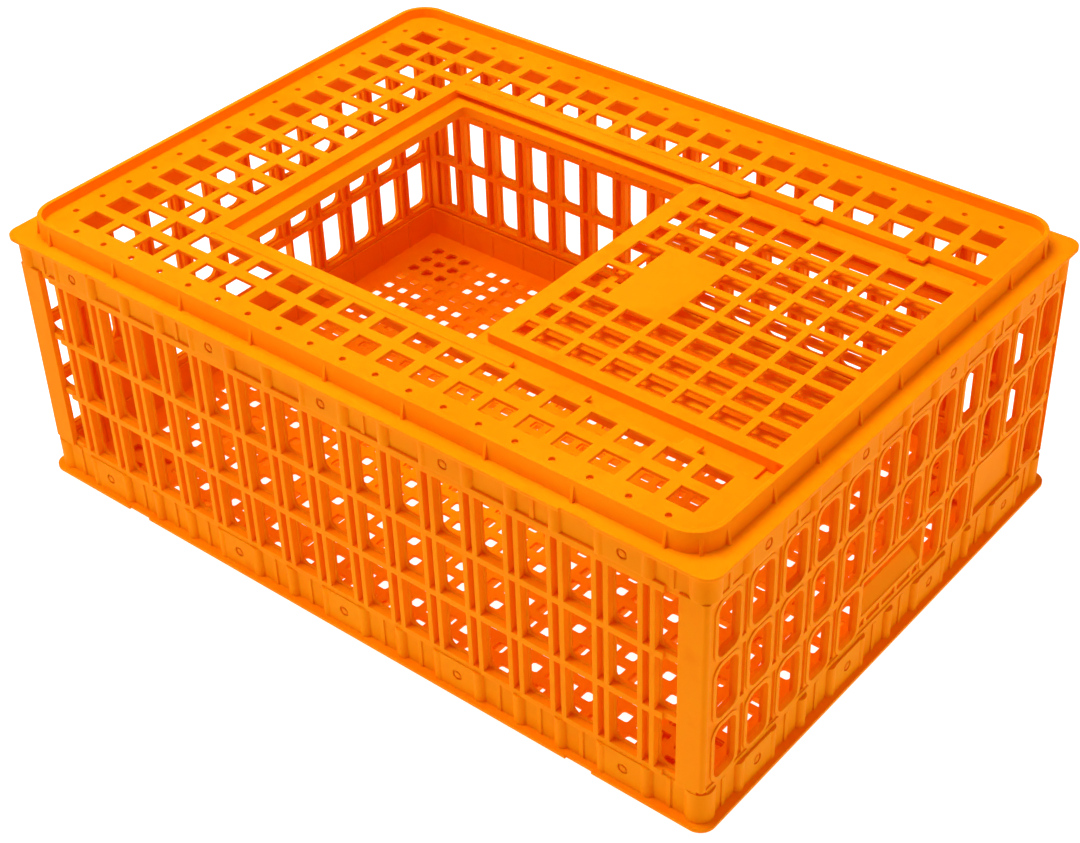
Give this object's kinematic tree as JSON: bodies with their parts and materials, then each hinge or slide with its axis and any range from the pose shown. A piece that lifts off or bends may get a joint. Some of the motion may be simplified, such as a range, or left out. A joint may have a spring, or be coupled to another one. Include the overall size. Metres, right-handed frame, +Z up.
{
  "type": "poultry transport crate",
  "caption": "Low stackable slatted crate for live poultry, with a perforated floor, ribbed ventilated walls and a sliding hatch door in the lid.",
  "frame": {"origin": "on the ground plane under the middle of the crate's footprint", "axes": "+X along the long side towards the end where the open door is parked, +Y to the back long side, +Z up"},
  "size_m": [0.75, 0.54, 0.28],
  "materials": {
    "crate": "yellow-orange polyethylene, satin, lightly scuffed",
    "door": "yellow-orange polyethylene, satin, lightly scuffed",
    "pins": "yellow-orange polyethylene, satin"
  },
  "bodies": {
    "crate": {"base_tray": "crate", "top_frame": "crate", "side_panel_front": "crate", "side_panel_back": "crate", "end_panel_right": "crate", "end_panel_left": "crate", "pins_front_top": "pins", "pins_front_base": "pins", "pins_right_top": "pins", "pins_right_base": "pins", "pins_back_top": "pins", "pins_back_base": "pins", "pins_left_top": "pins", "pins_left_base": "pins"},
    "door": {"sliding_door": "door"}
  },
  "joints": [
    {"name": "door_slide", "type": "slide", "parent": "crate", "child": "door", "axis": [-1, 0, 0], "range_m": [0, 0.284]}
  ]
}
